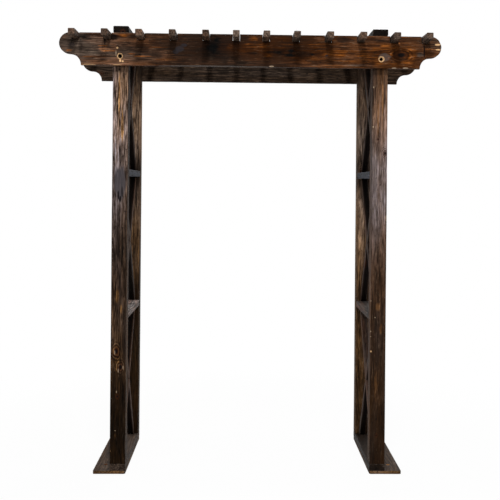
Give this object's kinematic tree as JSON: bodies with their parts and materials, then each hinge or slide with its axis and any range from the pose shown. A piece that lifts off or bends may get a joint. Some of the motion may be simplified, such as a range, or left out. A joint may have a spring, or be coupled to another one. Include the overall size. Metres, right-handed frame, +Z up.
{
  "type": "wooden garden arbor",
  "caption": "Walk-through garden arbor of stained lumber: two cross-braced side frames on base plates, shaped beams with bullnose ends, and square rafters let into them.",
  "frame": {"origin": "on the ground in the middle of the walkway, under the middle of the beams", "axes": "+X across the walkway to the right as seen from the front, -Y to the front, +Z up"},
  "size_m": [2.1676, 1.128, 2.548],
  "materials": {
    "post_wood": "worn dark brown stain",
    "beam_wood": "worn dark brown stain with orange grain",
    "rafter_wood": "weathered brown stain",
    "brace_wood": "dark stained square bar",
    "weathered_wood": "grey weathered board",
    "plate_wood": "grey worn board"
  },
  "bodies": {
    "root": {"left_base_plate": "plate_wood", "left_sole": "plate_wood", "left_cap": "weathered_wood", "left_front_post": "post_wood", "left_back_post": "post_wood", "left_lower_rail": "weathered_wood", "left_upper_rail": "weathered_wood", "left_lower_brace_falling": "brace_wood", "left_lower_brace_rising": "brace_wood", "left_middle_brace_falling": "brace_wood", "left_middle_brace_rising": "brace_wood", "left_upper_brace_falling": "brace_wood", "left_upper_brace_rising": "brace_wood", "left_rafter_1": "rafter_wood", "left_rafter_2": "rafter_wood", "left_rafter_3": "rafter_wood", "left_rafter_4": "rafter_wood", "left_rafter_5": "rafter_wood", "left_rafter_6": "rafter_wood", "right_base_plate": "plate_wood", "right_sole": "plate_wood", "right_cap": "weathered_wood", "right_front_post": "post_wood", "right_back_post": "post_wood", "right_lower_rail": "weathered_wood", "right_upper_rail": "weathered_wood", "right_lower_brace_falling": "brace_wood", "right_lower_brace_rising": "brace_wood", "right_middle_brace_falling": "brace_wood", "right_middle_brace_rising": "brace_wood", "right_upper_brace_falling": "brace_wood", "right_upper_brace_rising": "brace_wood", "right_rafter_1": "rafter_wood", "right_rafter_2": "rafter_wood", "right_rafter_3": "rafter_wood", "right_rafter_4": "rafter_wood", "right_rafter_5": "rafter_wood", "right_rafter_6": "rafter_wood", "front_beam": "beam_wood", "back_beam": "beam_wood"}
  },
  "joints": []
}
